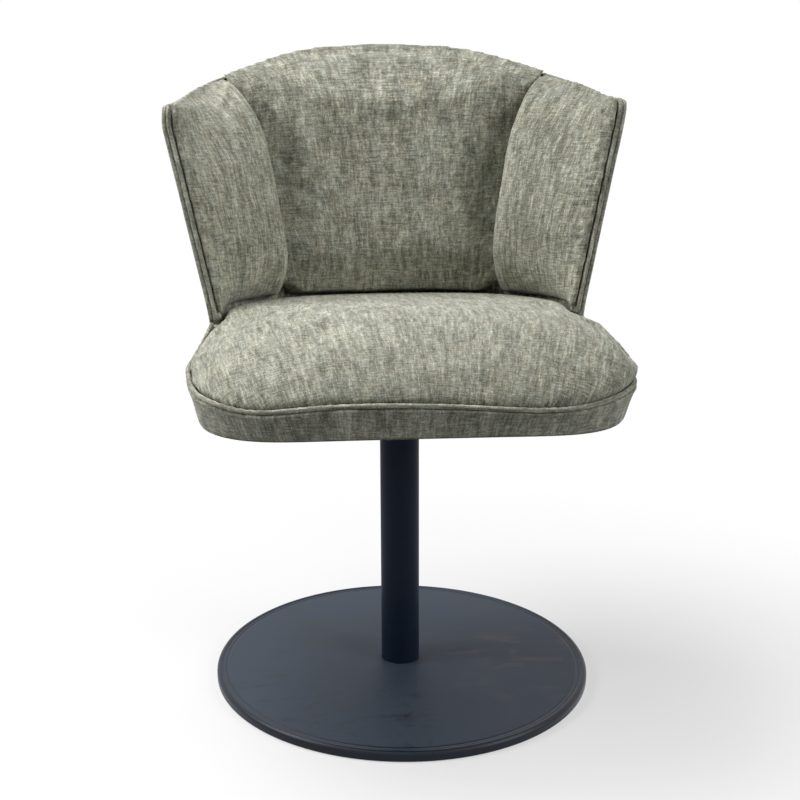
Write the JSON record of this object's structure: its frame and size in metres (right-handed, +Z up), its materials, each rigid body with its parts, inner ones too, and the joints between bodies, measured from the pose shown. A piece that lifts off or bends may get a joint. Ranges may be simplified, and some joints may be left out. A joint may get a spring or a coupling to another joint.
{
  "type": "swivel dining chair",
  "caption": "Upholstered tub seat with a winged back that turns on a fixed round column and a flat round base.",
  "frame": {"origin": "on the floor, at the axis of the column, in the middle of the round base", "axes": "+Z up along the column, -Y to the front of the chair, +X to the sitter's left, which is the right-hand side in the picture"},
  "size_m": [0.5836, 0.5365, 0.823],
  "materials": {
    "pad": "matt black felt-faced pad",
    "weight_steel": "plain hot-rolled steel",
    "powder_coat": "matt blue-black powder coat",
    "zinc_steel": "zinc plated",
    "bush_plastic": "natural nylon",
    "bearing_steel": "ground and polished",
    "cage_brass": "pressed, plain",
    "plate_paint": "black paint",
    "plywood": "raw moulded plywood",
    "dust_cloth": "black non-woven cloth",
    "chenille": "sage grey chenille with pale slubs, over foam"
  },
  "bodies": {
    "base": {"floor_pad": "pad", "base_weight": "weight_steel", "base_cover": "powder_coat", "column_flange": "weight_steel", "flange_screws": "zinc_steel", "column_tube": "powder_coat", "swivel_sleeve": "zinc_steel", "upper_bush": "bush_plastic", "lower_bush": "bush_plastic", "lower_race": "bearing_steel"},
    "bearing_cage": {"ball_cage": "cage_brass", "thrust_balls": "bearing_steel"},
    "seat": {"upper_race": "bearing_steel", "spindle": "zinc_steel", "retaining_washer": "zinc_steel", "circlip": "bearing_steel", "swivel_plate": "plate_paint", "plate_bolts": "zinc_steel", "spring_washers": "zinc_steel", "t_nuts": "zinc_steel", "seat_board": "plywood", "dust_cover": "dust_cloth", "seat_band": "chenille", "seat_piping": "chenille", "seat_cushion": "chenille", "back_shell": "plywood", "back_cover": "chenille", "back_lining": "chenille", "back_cushion": "chenille", "wing_cushion_left": "chenille", "wing_cushion_right": "chenille", "back_piping": "chenille", "angle_cleats": "zinc_steel", "cleat_screws": "zinc_steel"}
  },
  "joints": [
    {"name": "seat_swivel", "type": "hinge", "parent": "base", "child": "seat", "pos_m": [0, 0, 0.338], "axis": [0, 0, 1], "continuous": true},
    {"name": "cage_roll", "type": "hinge", "parent": "base", "child": "bearing_cage", "pos_m": [0, 0, 0.338], "axis": [0, 0, 1], "continuous": true}
  ],
  "couplings": [
    {"joint": "cage_roll", "follows": "seat_swivel", "ratio": 0.5}
  ]
}
